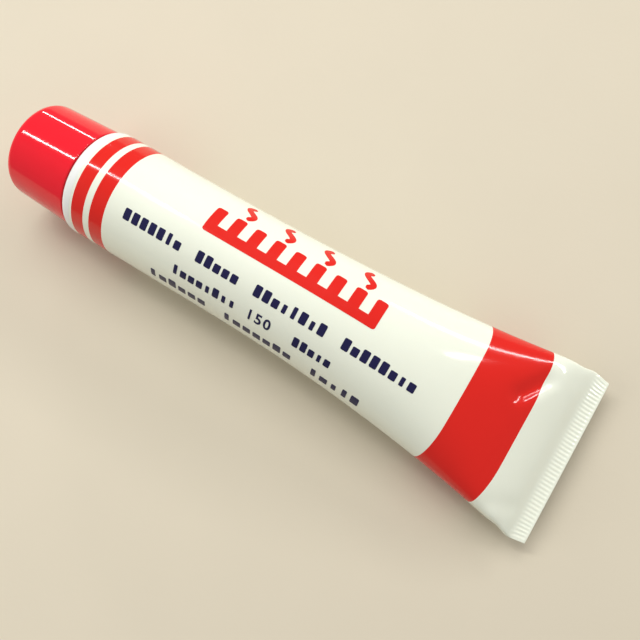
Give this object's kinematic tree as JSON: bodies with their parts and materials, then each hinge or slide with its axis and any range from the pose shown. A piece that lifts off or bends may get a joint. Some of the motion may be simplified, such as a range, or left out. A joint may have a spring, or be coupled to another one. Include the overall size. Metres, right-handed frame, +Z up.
{
  "type": "squeeze tube of heat transfer compound",
  "caption": "Collapsible plastic squeeze tube with a crimped flat tail and a wide screw cap on a threaded neck, filled with heat transfer paste.",
  "frame": {"origin": "on the surface that the tube lies on, under the middle of its box", "axes": "+X along the tube from the cap's closed end to the crimped tail, +Z up, +Y to the side, in the plane of the flat crimp"},
  "size_m": [0.162, 0.047, 0.03],
  "materials": {
    "sleeve": "glossy printed white polyethylene with red bands",
    "head": "semi-gloss white moulded polyethylene",
    "foil": "lightly wrinkled aluminium foil",
    "compound": "smooth white filled silicone paste",
    "liner": "soft matte foamed polyethylene",
    "red_ink": "glossy red ink printed on the sleeve",
    "navy_ink": "glossy navy ink printed on the sleeve",
    "cap": "glossy moulded red polypropylene"
  },
  "bodies": {
    "tube": {"tube_sleeve": "sleeve", "tube_head": "head", "orifice_seal": "foil", "heat_transfer_compound": "compound"},
    "cap_seal": {"cap_liner": "liner"},
    "cap": {"screw_cap": "cap"}
  },
  "joints": [
    {"name": "cap_travel", "type": "slide", "parent": "tube", "child": "cap_seal", "axis": [-1, 0, 0], "range_m": [0, 0.012]},
    {"name": "cap_turn", "type": "hinge", "parent": "cap_seal", "child": "cap", "pos_m": [-0.071, 0, 0.015], "axis": [-1, 0, 0], "range_deg": [0, 1440]}
  ],
  "couplings": [
    {"joint": "cap_travel", "follows": "cap_turn", "m_per_rad": 0.00047746}
  ]
}
